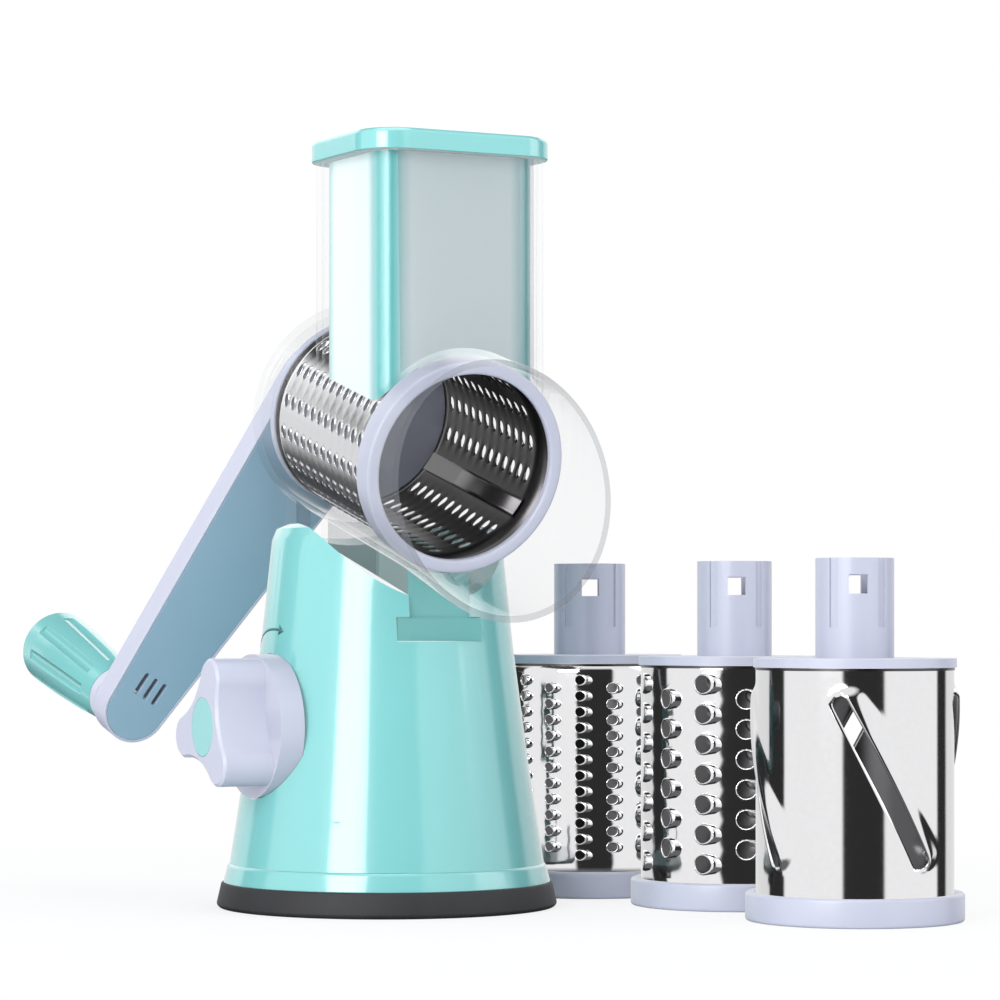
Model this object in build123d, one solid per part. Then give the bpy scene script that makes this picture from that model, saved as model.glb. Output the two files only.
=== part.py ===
from build123d import *
import os
from math import atan, cos, degrees, pi, radians, sin, sqrt

# Rotary drum shredder: a column on a suction foot carries a clear feed housing with a sloping
# drum in it. A crank turns the drum, a pusher presses food down onto it, and three spare drums
# stand beside the column. Millimetres, +Z up. The origin is the centre of the foot's underside
# and the drum's mouth faces -Y.

# ---------------------------------------------------------------- driving dimensions
wall = 2.8  # moulded walls of the column
clear_wall = 2.6  # walls of the clear housing
running_gap = 0.3  # between pieces that move past each other
fit_gap = 0.1  # between pieces that fit into each other
pin_gap = 0.05  # round a screw's thread or a pin
past = 1.0  # how far a cut runs past the face that it opens
joined = 1.0  # how far one stretch of a piece runs into the next

# drums
drum_radius = 41.5  # steel shell, over the corners of its lands
shell_thickness = 0.6
drum_length = 110.0  # from the mouth to the outer face of the rear cap
ring_radius = 46.0
ring_height = 12.0
ring_lip = 4.0  # the part of the ring below the steel
ring_ledge = 0.6  # how far the lip stands inside the steel
cap_radius = 42.6
cap_thickness = 3.8
plug_height = 3.0
hub_radius = 16.5
hub_bore_radius = 12.6
hub_length = 42.0
hub_shoulder = 13.0  # plain round stretch of the hub, its journal
window_size = 8.0
window_below_end = 7.0
keyway_width = 4.0
keyway_depth = 1.0
keyway_angle = 38.0

# perforations
leaf_length = 5.6
leaf_width = 3.0
leaf_pitch = 7.0
leaf_rows = 18
leaf_count = 12
seam_turn = 210.0  # where the fitted drum's lapped seam lies
small_hole = 5.8  # across the corners
small_pitch = 8.0
small_columns = 18
small_count = 11
large_hole = 8.0
large_pitch = 13.0
large_columns = 12
large_count = 6
slicer_slots = 4
slicer_turn = 10.0
slot_length = 80.0
slot_width = 6.5
hood_width = 9.0
slot_slant = 28.0
blade_rise = 2.4
blade_thickness = 0.8

# drum axis in the row
drum_tilt = 15.6
mouth_y = -76.0
mouth_z = 190.0

# clear feed housing
housing_running_gap = 0.6
bell_length = 62.0
bell_flare = 3.2
rim_centre = 34.5
rim_slant = 22.3
rear_wall_gap = 1.0
bearing_gap = 0.08
bearing_wall = 4.0
hopper_x = 86.0
hopper_y = 71.0
hopper_corner = 16.0
hopper_centre_y = -41.5
hopper_top = 322.8
hopper_start = 200.0

# pusher
pusher_gap = 3.0
pusher_wall = 2.2
pusher_over_drum = 2.7
pusher_low_cut = 10.0  # of the sides that hang below the drum's top, above the axis at the mouth
flange_overhang = 2.0
flange_height = 9.0
cap_chamfer = 1.5
plug_depth = 6.0
plug_wall = 2.0

# column and foot
column_top = 168.0
horn_radius = 7.0
saddle_radius = 60.0
foot_radius = 75.0
foot_height = 11.0
foot_chamfer = 1.5
clamp_radius = 62.3  # of the hollow over the membrane, inside the clamped lip
membrane = 4.0
lip_height = 3.2
lip_width = 3.7
skirt_height = 8.2
skirt_radius = 72.0
column_foot_radius = 69.2
column_waist_radius = 58.6  # half way up
column_top_radius = 50.6
side_tapers = 3
plate_thickness = 3.0
guide_wall = 3.5
guide_height = 20.0
screw_circle = 52.0
screw_radius = 2.0
screw_head_radius = 4.0
screw_head_height = 2.0
screw_length = 18.0
boss_radius = 5.0
boss_height = 26.0
boss_web = 14.0
rib_width = 3.0
rib_depth = 28.0  # of the web under the knob's bearing, from its axis
clamp_step = 1.1
flange_thickness = 4.0
skirt_edge = 0.8

# tee foot of the housing and its slot in the column
tee_width = 40.0
tee_height = 10.0
tee_bottom = 117.0
tee_front = -51.0
tee_back = 40.0
neck_width = 29.0
neck_front = -50.0
neck_back = 38.0
neck_wall = 2.5
rest_inner = 24.0
rest_outer = 31.0
rest_front = 28.0
rest_back = 40.0
rest_overlap = 10.0  # how far a rest reaches past the saddle and past the mouth's height

# lock knob, cam and stem
knob_z = 80.0
knob_radius = 31.2
knob_seat_x = -54.0
knob_disc = 11.0
knob_reach = 34.4
knob_edge = 1.2
knob_lobe_radius = 9.4
knob_lobe_circle = 21.2
knob_waist = 15.8
knob_rest_turn = -12.0
insert_width = 22.5
insert_height = 25.5
insert_thickness = 2.0
shaft_radius = 6.0
cam_radius = 8.0
cam_lift = 4.0
cam_span = 105.0  # a little more than the knob turns
cam_points = 8
cam_width = 9.0
shaft_end = 4.0  # past the cam
head_depth = 3.0  # of the screw's seat below the insert
shaft_depth = 6.0  # of the shaft's end below the insert
knob_screw_length = 14.0
stem_radius = 5.0
pull_plate_radius = 24.0
pull_plate_thickness = 3.0
yoke_width = 10.0
yoke_bar = 7.0
yoke_side = 3.5
yoke_gap = 2.0  # beside and below the cam

# crank
arm_gap = 12.5  # from the housing's rear wall to the arm's front face
arm_thickness = 16.0
arm_length = 167.0
arm_angle = 30.4  # from straight down, towards the knob's side
arm_pivot_radius = 28.5
arm_tip_radius = 15.2
arm_border = 1.2
arm_ledge = 1.4
arm_back = 2.4
arm_chamfer = 2.0
inlay_thickness = 2.0
socket_wall = 4.0
socket_cap = 2.8
socket_boss_radius = 22.0
spigot_gap = 0.2
catch_width = 7.4
catch_thickness = 3.0
catch_sink = 0.5  # below the spigot's surface
catch_end = 2.0  # from its slot to the socket's end
tooth_gap = 0.7  # from the tooth's top to the hub's surface
vent_length = 11.0
vent_width = 2.4
vent_pitch = 5.2
vent_reach = 11.5  # from the grip's pin towards the hub

# grip
pin_radius = 3.0
pin_head_radius = 5.4
pin_head_height = 2.5
pin_head_space = 4.0  # free of the pin's head, under the end cap
collar_height = 8.0
collar_radius = 14.6
grip_neck_radius = 13.4
grip_waist_radius = 16.4
grip_end_radius = 17.7
grip_length = 77.0
grip_dome = 10.0
grip_flutes = 8
flute_radius = 4.0
flute_depth = 0.9
flute_end_gap = 9.0  # plain stretch at each end of the grip
grip_chamber_radius = 8.0

# spare drums, standing mouth down
spare_places = {
    "grater": (foot_radius + 44.5, 30.0),
    "coarse": (foot_radius + 65.5, -63.5),
    "slicer": (foot_radius + 66.0, -158.5),
}
spare_turn = -28.0

# ---------------------------------------------------------------- derived places
axis_plane = Plane(
    origin=(0, mouth_y, mouth_z),
    x_dir=(-1, 0, 0),
    z_dir=(0, cos(radians(drum_tilt)), sin(radians(drum_tilt))),
)
on_axis = axis_plane.location  # x towards the knob's side, y up, z to the rear
steel_end = drum_length - cap_thickness
hub_end = drum_length + hub_length
bore_radius = ring_radius + housing_running_gap
tube_radius = bore_radius + clear_wall
rear_wall_start = drum_length + rear_wall_gap
rear_wall_end = rear_wall_start + clear_wall
arm_front = rear_wall_end + arm_gap
arm_rear = arm_front + arm_thickness
arm_tip = (arm_length * sin(radians(arm_angle)), -arm_length * cos(radians(arm_angle)))
socket_radius = hub_radius + fit_gap
socket_end = hub_end + running_gap
plate_bottom = membrane + running_gap + pull_plate_thickness + cam_lift + running_gap
plate_top = plate_bottom + plate_thickness
skirt_top = foot_height + skirt_height
head_seat = knob_seat_x - knob_reach + insert_thickness + head_depth
shaft_start = knob_seat_x - knob_reach + insert_thickness + shaft_depth
wide = 4 * foot_radius  # longer than anything that is cut
catch_low = hub_bore_radius - spigot_gap - catch_sink - catch_thickness
parts = {}
os.makedirs("parts", exist_ok=True)


def tube(outer, inner, start, end):
    """A plain tube on Z."""
    body = Pos(0, 0, start) * Cylinder(outer, end - start, align=(Align.CENTER, Align.CENTER, Align.MIN))
    if inner > 0:
        body -= Pos(0, 0, start) * Cylinder(inner, end - start, align=(Align.CENTER, Align.CENTER, Align.MIN))
    return body


def bar(x0, x1, y0, y1, z0, z1):
    """A block between two corners."""
    block = Box(x1 - x0, y1 - y0, z1 - z0)
    return Pos((x0 + x1) / 2, (y0 + y1) / 2, (z0 + z1) / 2) * block


def turned(*points):
    """A closed outline of (radius, height) points turned about Z."""
    outline = Plane.XZ * make_face(Polyline(*points, close=True))
    return revolve(outline, Axis.Z)


def along_x(start, end, shape):
    """A flat shape in the YZ plane pulled along X from one place to another."""
    return extrude(Plane.YZ.offset(start) * shape, end - start)


# ---------------------------------------------------------------- drums
def perforated(lands, holes):
    """A steel sleeve of flat lands, with (land, height, outline) holes cut square to them."""
    turn = 180 / lands
    apothem = drum_radius * cos(pi / lands)
    inner = drum_radius - shell_thickness / cos(pi / lands)
    sleeve = extrude(RegularPolygon(drum_radius, lands, rotation=turn), steel_end - ring_lip)
    sleeve -= extrude(RegularPolygon(inner, lands, rotation=turn), steel_end - ring_lip)
    sleeve = Pos(0, 0, ring_lip) * sleeve
    cutters = []
    for land, height, outline in holes:
        angle = 2 * pi * land / lands
        out = (cos(angle), sin(angle), 0)
        place = Plane(
            origin=(apothem * out[0], apothem * out[1], height),
            x_dir=(-out[1], out[0], 0),
            z_dir=out,
        )
        cutters.append(extrude(place * outline, 2 * shell_thickness, both=True))
    return sleeve.cut(*cutters)


def leaf_holes():
    """Rows of leaf shaped holes that lie across the rows, one row left out for the lapped seam."""
    leaf = make_face(
        Polyline(
            (-leaf_length / 2, 0),
            (0, -leaf_width / 2),
            (leaf_length / 2, 0),
            (0, leaf_width / 2),
            close=True,
        )
    )
    middle = (ring_height + steel_end) / 2
    first = middle - leaf_pitch * (leaf_count - 1) / 2
    return [
        (2 * row, first + leaf_pitch * step, leaf)
        for row in range(1, leaf_rows)
        for step in range(leaf_count)
    ]


def staggered_holes(outline, columns, count, pitch):
    """Columns of holes, every other one shifted by half a pitch."""
    middle = (ring_height + steel_end) / 2
    holes = []
    for column in range(columns):
        shift = pitch / 4 if column % 2 else -pitch / 4
        first = middle - pitch * (count - 1) / 2 + shift
        holes += [(2 * column, first + pitch * step, outline) for step in range(count)]
    return holes


def slicer_shell():
    """A round sleeve with slanted slots, each with a raised, walled knife along one side."""
    sleeve = tube(drum_radius, drum_radius - shell_thickness, ring_lip, steel_end)
    middle = (ring_height + steel_end) / 2
    slot = SlotOverall(slot_length, slot_width)
    edge = slot_width / 4  # the knife's edge, on one side of the slot's middle line
    one_side = Pos(0, -(hood_width + edge) / 2) * Rectangle(slot_length, hood_width - edge)
    outline = SlotOverall(slot_length, 2 * hood_width)
    inner_outline = SlotOverall(slot_length - 2 * blade_thickness, 2 * (hood_width - blade_thickness))
    hood = outline & one_side
    wall = hood - inner_outline
    for number in range(slicer_slots):
        angle = radians(slicer_turn) + 2 * pi * number / slicer_slots
        out = (cos(angle), sin(angle), 0)
        slant = radians(90 + slot_slant)
        along = (-out[1] * cos(slant), out[0] * cos(slant), sin(slant))
        place = Plane(origin=(0, 0, middle), x_dir=along, z_dir=out)
        sleeve -= extrude(place * slot, 2 * drum_radius)
        knife = tube(drum_radius + blade_rise, drum_radius + blade_rise - blade_thickness, 0, drum_length)
        knife &= extrude(place * hood, 2 * drum_radius)
        foot = tube(drum_radius + blade_rise, drum_radius - shell_thickness, 0, drum_length)
        foot &= extrude(place * wall, 2 * drum_radius)
        sleeve += knife + foot
    return sleeve


def drum_ring():
    """The mouth ring, which wraps the end of the steel."""
    lip_radius = drum_radius - shell_thickness - ring_ledge
    seat_radius = drum_radius + fit_gap
    ring = tube(ring_radius, lip_radius, 0, ring_height)
    return ring - tube(seat_radius, 0, ring_lip, ring_height)


def drum_cap():
    """The rear cap: a rim on the steel, a plug inside it and the hollow hub."""
    plug_radius = drum_radius * cos(pi / (2 * large_columns)) - shell_thickness - fit_gap
    cap = tube(cap_radius, 0, steel_end, drum_length)
    cap += tube(plug_radius, 0, steel_end - plug_height, steel_end)
    cap += tube(hub_radius, hub_bore_radius, drum_length, hub_end)
    for side in (90, 270):
        for turn in (-keyway_angle, keyway_angle):
            keyway = bar(
                hub_radius - keyway_depth, hub_radius + past,
                -keyway_width / 2, keyway_width / 2,
                drum_length + hub_shoulder, hub_end + past,
            )
            cap -= Rot(0, 0, side + turn) * keyway
    window_top = hub_end - window_below_end
    half = window_size / 2
    cap -= bar(-half, half, -hub_radius - past, hub_radius + past, window_top - window_size, window_top)
    return cap


def rasp_hole():
    """A three sided hole with its point towards the mouth, as a rasp's teeth leave."""
    return RegularPolygon(small_hole / 2, 3, rotation=-90)


shells = {
    "shredder": Rot(0, 0, seam_turn) * perforated(2 * leaf_rows, leaf_holes()),
    "grater": perforated(
        2 * small_columns,
        staggered_holes(rasp_hole(), small_columns, small_count, small_pitch),
    ),
    "coarse": perforated(
        2 * large_columns,
        staggered_holes(RegularPolygon(large_hole / 2, 4), large_columns, large_count, large_pitch),
    ),
    "slicer": slicer_shell(),
}
ring = drum_ring()
cap = drum_cap()
places = {"shredder": on_axis}
for name, (x, y) in spare_places.items():
    places[name] = Location((x, y, 0), (0, 0, spare_turn))
for name, place in places.items():
    parts[name + "_drum_shell"] = place * shells[name]
    parts[name + "_drum_ring"] = place * ring
    parts[name + "_drum_cap"] = place * cap


# ---------------------------------------------------------------- clear feed housing
def hopper_outline(grow):
    """The hopper's plan, grown or drawn in all round."""
    return Pos(0, hopper_centre_y) * RectangleRounded(
        hopper_x + 2 * grow, hopper_y + 2 * grow, hopper_corner + grow
    )


def bell(grow):
    """The mouth of the housing, which widens towards its end."""
    radius = tube_radius + grow
    return turned((0, -bell_length), (radius + bell_flare, -bell_length), (radius, 0), (0, 0))


def feed_housing():
    """Hopper, drum tube, bell, rear bearing, tee foot and rests in one clear moulding."""
    body = on_axis * tube(tube_radius, 0, 0, rear_wall_end)
    body += on_axis * bell(0)
    body += Pos(0, 0, hopper_start) * extrude(hopper_outline(0), hopper_top - hopper_start)
    body += on_axis * tube(hub_radius + bearing_gap + bearing_wall, 0, rear_wall_end, arm_front - running_gap)
    neck = neck_width / 2
    body += bar(-neck, neck, neck_front, neck_back, tee_bottom + tee_height, mouth_z)
    for side in (-1, 1):
        rest = bar(
            rest_inner, rest_outer, rest_front, rest_back,
            column_top - rest_overlap, mouth_z + rest_overlap,
        )
        rest &= on_axis * tube(saddle_radius - running_gap, tube_radius - joined, 0, rear_wall_end)
        body += rest if side > 0 else mirror(rest, Plane.YZ)
    body += bar(-tee_width / 2, tee_width / 2, tee_front, tee_back, tee_bottom, tee_bottom + tee_height)
    body -= on_axis * tube(bore_radius, 0, 0, rear_wall_start)
    body -= on_axis * bell(-clear_wall)
    slant = radians(rim_slant)
    rim_plane = Plane(origin=(0, 0, -rim_centre), x_dir=(1, 0, 0), z_dir=(0, sin(slant), -cos(slant)))
    beyond = Box(wide, wide, wide, align=(Align.CENTER, Align.CENTER, Align.MIN))
    body -= on_axis * (rim_plane.location * beyond)
    body -= Pos(0, 0, hopper_start) * extrude(hopper_outline(-clear_wall), hopper_top)
    body -= on_axis * tube(hub_radius + bearing_gap, 0, rear_wall_start, arm_front)
    hollow = neck - neck_wall
    below_tube = bar(
        -hollow, hollow, neck_front + neck_wall, neck_back - neck_wall, tee_bottom - past, mouth_z
    )
    body -= below_tube - on_axis * tube(tube_radius, 0, -bell_length, rear_wall_end)
    return body


parts["feed_housing"] = feed_housing()


# ---------------------------------------------------------------- pusher
def pusher_body():
    """A hollow box that slides in the hopper, with its underside shaped to the drum."""
    outside = -clear_wall - pusher_gap
    over = drum_radius + pusher_over_drum
    full = Pos(0, 0, mouth_z) * extrude(hopper_outline(outside), hopper_top + running_gap - mouth_z)
    inside = Pos(0, 0, mouth_z) * extrude(hopper_outline(outside - pusher_wall), hopper_top)
    full -= on_axis * tube(over, 0, -wide, wide)
    inside -= on_axis * tube(over + pusher_wall, 0, -wide, wide)
    full -= Pos(0, 0, mouth_z) * extrude(hopper_outline(0), pusher_low_cut)
    shell = full - inside
    return max(shell.solids(), key=lambda solid: solid.bounding_box().max.Z)


def pusher_cap():
    """The flanged lid that rests on the hopper, plugged into the pusher."""
    start = hopper_top + running_gap
    lid = Pos(0, 0, start) * extrude(hopper_outline(flange_overhang), flange_height)
    top_edges = lid.edges().group_by(Axis.Z)[-1]
    lid = chamfer(top_edges, cap_chamfer)
    outside = -clear_wall - pusher_gap - pusher_wall - fit_gap
    plug = extrude(hopper_outline(outside), plug_depth) - extrude(hopper_outline(outside - plug_wall), plug_depth)
    return lid + Pos(0, 0, start - plug_depth) * plug


parts["pusher_body"] = pusher_body()
parts["pusher_cap"] = pusher_cap()


# ---------------------------------------------------------------- column
def stepped(curve, steps):
    """Points along a curve, for a turned side made of a few straight tapers."""
    return [tuple(curve @ (step / steps))[:2] for step in range(steps + 1)]


def column_solid(inset, tapers):
    """The column's outer form, drawn in by the inset: a flared round tower with a rounded top."""
    low = skirt_top if inset == 0 else skirt_top - past
    shoulder = column_top - horn_radius
    side = ThreePointArc(
        (column_foot_radius - inset, low),
        (column_waist_radius - inset, (low + shoulder) / 2),
        (column_top_radius - inset, shoulder),
    )
    corner = (column_top_radius - inset, shoulder)
    crown = RadiusArc(corner, (column_top_radius - horn_radius, column_top - inset), inset - horn_radius)
    outline = stepped(side, tapers) + stepped(crown, 2)[1:]
    solid = turned((0, low), *outline, (0, column_top - inset))
    return solid - on_axis * tube(saddle_radius + inset, 0, -wide, wide)


def tee_channel():
    """The block under the saddle that the housing's tee foot slides into."""
    half = tee_width / 2 + running_gap + wall
    block = bar(-half, half, -foot_radius, tee_back + running_gap + wall, tee_bottom - running_gap - wall, column_top)
    return block & column_solid(0, side_tapers)


def tee_slot():
    """The space for the tee foot, open at the front and at the saddle."""
    half = tee_width / 2 + running_gap
    neck = neck_width / 2 + running_gap
    low = tee_bottom - running_gap
    high = tee_bottom + tee_height + running_gap
    slot = bar(-half, half, -foot_radius, tee_back + running_gap, low, high)
    return slot + bar(-neck, neck, -foot_radius, neck_back + running_gap, high - joined, column_top + past)


def base_column():
    """The tower: shell, saddle, tee channel, knob seat with its bearing and screw bosses."""
    outer = column_solid(0, side_tapers)
    body = outer - column_solid(wall, 1)
    body += tee_channel()
    seat = along_x(knob_seat_x + wall, -foot_radius, Pos(0, knob_z) * Circle(knob_radius + wall))
    body += seat & outer
    body += along_x(knob_seat_x, -cam_width, Pos(0, knob_z) * Circle(shaft_radius + bearing_wall))
    web = bar(
        knob_seat_x, -cam_width - joined, -rib_width / 2, rib_width / 2,
        knob_z - rib_depth, knob_z - shaft_radius - joined,
    )
    body += web & outer
    clamp_inner = clamp_radius + clamp_step
    body += tube(column_foot_radius - wall + joined, clamp_inner, skirt_top, skirt_top + flange_thickness)
    body += tube(clamp_radius + lip_width, clamp_inner, foot_height + lip_height + fit_gap, skirt_top)
    for place in PolarLocations(screw_circle, 4, start_angle=45):
        body += place * tube(boss_radius, 0, plate_top, plate_top + boss_height)
        body += place * bar(0, boss_web, -rib_width / 2, rib_width / 2, skirt_top, plate_top + boss_height)
        body -= place * tube(screw_radius + pin_gap, 0, plate_top - past, plate_bottom + screw_length + past)
    body -= tee_slot()
    body -= along_x(knob_seat_x, -wide, Pos(0, knob_z) * Circle(knob_radius + running_gap))
    body -= along_x(-foot_radius, 0, Pos(0, knob_z) * Circle(shaft_radius + fit_gap))
    return body


def base_ring():
    """The skirt band at the bottom of the column, clamped round the rubber foot's lip."""
    inner = clamp_radius + lip_width + 2 * fit_gap
    return turned(
        (inner, foot_height),
        (skirt_radius, foot_height),
        (column_foot_radius + fit_gap + skirt_edge, skirt_top - skirt_edge),
        (column_foot_radius + fit_gap, skirt_top),
        (inner, skirt_top),
    )


def suction_foot():
    """The rubber cup: a thick rim, a flat membrane and a lip for the clamp."""
    return turned(
        (0, 0),
        (foot_radius - foot_chamfer, 0),
        (foot_radius, foot_chamfer),
        (skirt_radius + skirt_edge, foot_height),
        (clamp_radius + lip_width, foot_height),
        (clamp_radius + lip_width, foot_height + lip_height),
        (clamp_radius, foot_height + lip_height),
        (clamp_radius, membrane),
        (0, membrane),
    )


def base_plate():
    """The disc that closes the column and guides the stem."""
    guide = stem_radius + running_gap
    plate = tube(clamp_radius - running_gap, guide, plate_bottom, plate_top)
    plate += tube(guide + guide_wall, guide, plate_top, plate_top + guide_height)
    for place in PolarLocations(screw_circle, 4, start_angle=45):
        plate -= place * tube(screw_radius + fit_gap, 0, plate_bottom, plate_top)
    return plate


def base_screws():
    """Four screws from below into the column's bosses."""
    screw = tube(screw_head_radius, 0, plate_bottom - screw_head_height, plate_bottom)
    screw += tube(screw_radius, 0, plate_bottom, plate_bottom + screw_length)
    return Compound([place * screw for place in PolarLocations(screw_circle, 4, start_angle=45)])


parts["base_column"] = base_column()
parts["base_ring"] = base_ring()
parts["suction_foot"] = suction_foot()
parts["base_plate"] = base_plate()
parts["base_screws"] = base_screws()


# ---------------------------------------------------------------- lock knob, cam and stem
def knob_outline():
    """Three rounded lobes with hollow flanks between them, one lobe near the rear."""
    half = knob_lobe_circle / 2
    side = knob_lobe_circle * sin(radians(60))
    hollow = knob_waist - half
    flank_radius = (hollow**2 + side**2 - knob_lobe_radius**2) / (2 * (knob_lobe_radius - hollow))
    share = knob_lobe_radius / (knob_lobe_radius + flank_radius)
    touch_x = half + (hollow + flank_radius) * share
    touch_y = side * (1 - share)
    tip = Vector(knob_lobe_circle + knob_lobe_radius, 0).rotate(Axis.Z, -60)
    next_touch = Vector(touch_x, touch_y).rotate(Axis.Z, -120)
    flank = ThreePointArc((touch_x, touch_y), (knob_waist, 0), (touch_x, -touch_y))
    lobe = ThreePointArc((touch_x, -touch_y), tip, next_touch)
    edges = []
    for number in range(3):
        turn = Rot(0, 0, knob_rest_turn + 60 - 120 * number)
        edges += [turn * flank, turn * lobe]
    return make_face(edges)


def lock_knob():
    """A round drum with a three lobed grip standing on it."""
    back = knob_seat_x - running_gap
    front = knob_seat_x - knob_reach
    body = along_x(back, back - knob_disc, Pos(0, knob_z) * Circle(knob_radius))
    lobes = along_x(back - knob_disc + joined, front, Pos(0, knob_z) * knob_outline())
    body += chamfer(lobes.edges().group_by(Axis.X)[0], knob_edge)
    body -= along_x(front, front + insert_thickness, Pos(0, knob_z) * knob_insert_outline(fit_gap))
    body -= along_x(back + past, shaft_start, Pos(0, knob_z) * Circle(shaft_radius + pin_gap))
    body -= along_x(front, back, Pos(0, knob_z) * Circle(screw_radius + fit_gap))
    body -= along_x(front, head_seat, Pos(0, knob_z) * Circle(screw_head_radius + running_gap))
    return body


def knob_insert_outline(grow):
    """The oval in the knob's face."""
    return Ellipse(insert_width / 2 + grow, insert_height / 2 + grow)


def cam_outline():
    """A spiral that lifts evenly over a quarter turn, closed by its base circle."""
    rate = cam_lift / (pi / 2)
    points = []
    for step in range(cam_points):
        angle = radians(cam_span) * step / (cam_points - 1)
        reach = cam_radius + rate * angle
        points.append((reach * sin(angle), reach * cos(angle)))
    rise = Spline(*points)
    heel = (0, -cam_radius)
    fall = Line(points[-1], heel)
    base = ThreePointArc(heel, (-cam_radius, 0), points[0])
    return make_face(Wire([rise, fall, base]).edges())


def cam_shaft():
    """The shaft of the lock knob with its cam."""
    front = shaft_start + running_gap
    shaft = along_x(front, cam_width / 2 + shaft_end, Pos(0, knob_z) * Circle(shaft_radius))
    shaft += along_x(-cam_width / 2, cam_width / 2, Pos(0, knob_z) * cam_outline())
    shaft -= along_x(front, head_seat + knob_screw_length + past, Pos(0, knob_z) * Circle(screw_radius + pin_gap))
    return shaft


def knob_screw():
    """The screw that holds the knob on its shaft, under the insert."""
    screw = along_x(head_seat - screw_head_height, head_seat, Pos(0, knob_z) * Circle(screw_head_radius))
    return screw + along_x(head_seat, head_seat + knob_screw_length, Pos(0, knob_z) * Circle(screw_radius))


def lift_stem():
    """Pull plate, stem and yoke: the cam lifts the yoke and with it the middle of the foot."""
    rate = cam_lift / (pi / 2)
    contact = sqrt(cam_radius**2 + rate**2)
    window_top = knob_z + contact + running_gap + fit_gap
    window_bottom = knob_z - cam_radius - cam_lift - yoke_gap
    window_half = cam_radius + cam_lift + yoke_gap
    low = window_bottom - yoke_bar
    start = membrane + running_gap
    stem = tube(pull_plate_radius, 0, start, start + pull_plate_thickness)
    stem += tube(stem_radius, 0, start, low + joined)
    half = window_half + yoke_side
    yoke = bar(-yoke_width / 2, yoke_width / 2, -half, half, low, window_top + yoke_bar)
    yoke -= bar(-yoke_width, yoke_width, -window_half, window_half, window_bottom, window_top)
    return stem + yoke


parts["lock_knob"] = lock_knob()
parts["knob_insert"] = along_x(
    knob_seat_x - knob_reach, knob_seat_x - knob_reach + insert_thickness, Pos(0, knob_z) * knob_insert_outline(0)
)
parts["cam_shaft"] = cam_shaft()
parts["knob_screw"] = knob_screw()
parts["lift_stem"] = lift_stem()


# ---------------------------------------------------------------- crank
def arm_outline(inset):
    """The arm's outline: two rounds joined by straight sides, drawn in by the inset."""
    pivot = Circle(arm_pivot_radius - inset)
    tip = Pos(*arm_tip) * Circle(arm_tip_radius - inset)
    return make_hull(pivot.edges() + tip.edges())


def arm_slice(inset, start, end):
    """A slice of the arm's outline between two heights along the drum's axis."""
    return Pos(0, 0, start) * extrude(arm_outline(inset), end - start)


def crank_arm():
    """The arm: an open tray with the hub socket, its spigot and the boss for the grip's pin."""
    body = arm_slice(0, arm_front, arm_rear)
    body = chamfer(body.edges().group_by(Axis.Z)[-1], arm_chamfer)
    body -= arm_slice(arm_border, arm_front, arm_front + inlay_thickness)
    body -= arm_slice(arm_border + arm_ledge, arm_front + inlay_thickness, arm_rear - arm_back)
    body += tube(socket_radius + socket_wall, 0, arm_front, arm_rear)
    boss = tube(socket_boss_radius, 0, arm_rear - arm_back, socket_end + socket_cap)
    body += chamfer(boss.edges().group_by(Axis.Z)[-1], arm_chamfer)
    body += Pos(*arm_tip) * tube(pin_radius + socket_wall, 0, arm_front + inlay_thickness, arm_rear - joined)
    body -= tube(socket_radius, 0, arm_front, socket_end)
    for side in (90, 270):
        for turn in (-keyway_angle, keyway_angle):
            key = bar(
                hub_radius - keyway_depth + fit_gap, socket_radius + joined,
                -keyway_width / 2 + fit_gap, keyway_width / 2 - fit_gap,
                arm_front, socket_end,
            )
            body += Rot(0, 0, side + turn) * key
    body += tube(hub_bore_radius - spigot_gap, 0, arm_front + inlay_thickness, socket_end)
    half = catch_width / 2 + fit_gap
    body -= bar(-half, half, catch_low - fit_gap, hub_bore_radius, arm_front, socket_end - catch_end)
    body -= Pos(*arm_tip) * tube(pin_radius + pin_gap, 0, arm_front + inlay_thickness, arm_rear + past)
    return body


def crank_inlay():
    """The coloured plate that closes the arm, with three vents near the grip."""
    plate = arm_slice(arm_border + fit_gap, arm_front, arm_front + inlay_thickness)
    plate -= tube(socket_radius + socket_wall + fit_gap, 0, arm_front, arm_front + inlay_thickness)
    for number in (-1, 0, 1):
        spot = Pos(arm_tip[0], arm_tip[1], arm_front) * Rot(0, 0, arm_angle - 180)
        vent = Pos(number * vent_pitch, -vent_reach) * SlotOverall(vent_length, vent_width, rotation=90)
        plate -= spot * extrude(vent, inlay_thickness)
    return plate


def crank_catch():
    """The spring tongue in the spigot, with the tooth that enters the hub's window."""
    half = catch_width / 2
    window_top = hub_end - window_below_end
    tongue_end = socket_end - catch_end - running_gap
    tongue = bar(-half, half, catch_low, catch_low + catch_thickness, arm_front + inlay_thickness, tongue_end)
    tooth_low = window_top - window_size + running_gap
    tooth = bar(-half, half, catch_low, hub_radius - tooth_gap, tooth_low, window_top - running_gap)
    return tongue + tooth


def grip_pin():
    """The steel pin that the grip turns on."""
    start = arm_front + inlay_thickness + running_gap
    end = arm_rear + collar_height + running_gap + grip_length - grip_chamber_depth()
    pin = tube(pin_radius, 0, start, end)
    return Pos(*arm_tip) * (pin + tube(pin_head_radius, 0, end, end + pin_head_height))


def grip_chamber_depth():
    """How deep the pin's head sits in the grip, from the end cap's seat."""
    return pin_head_height + pin_head_space


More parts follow.
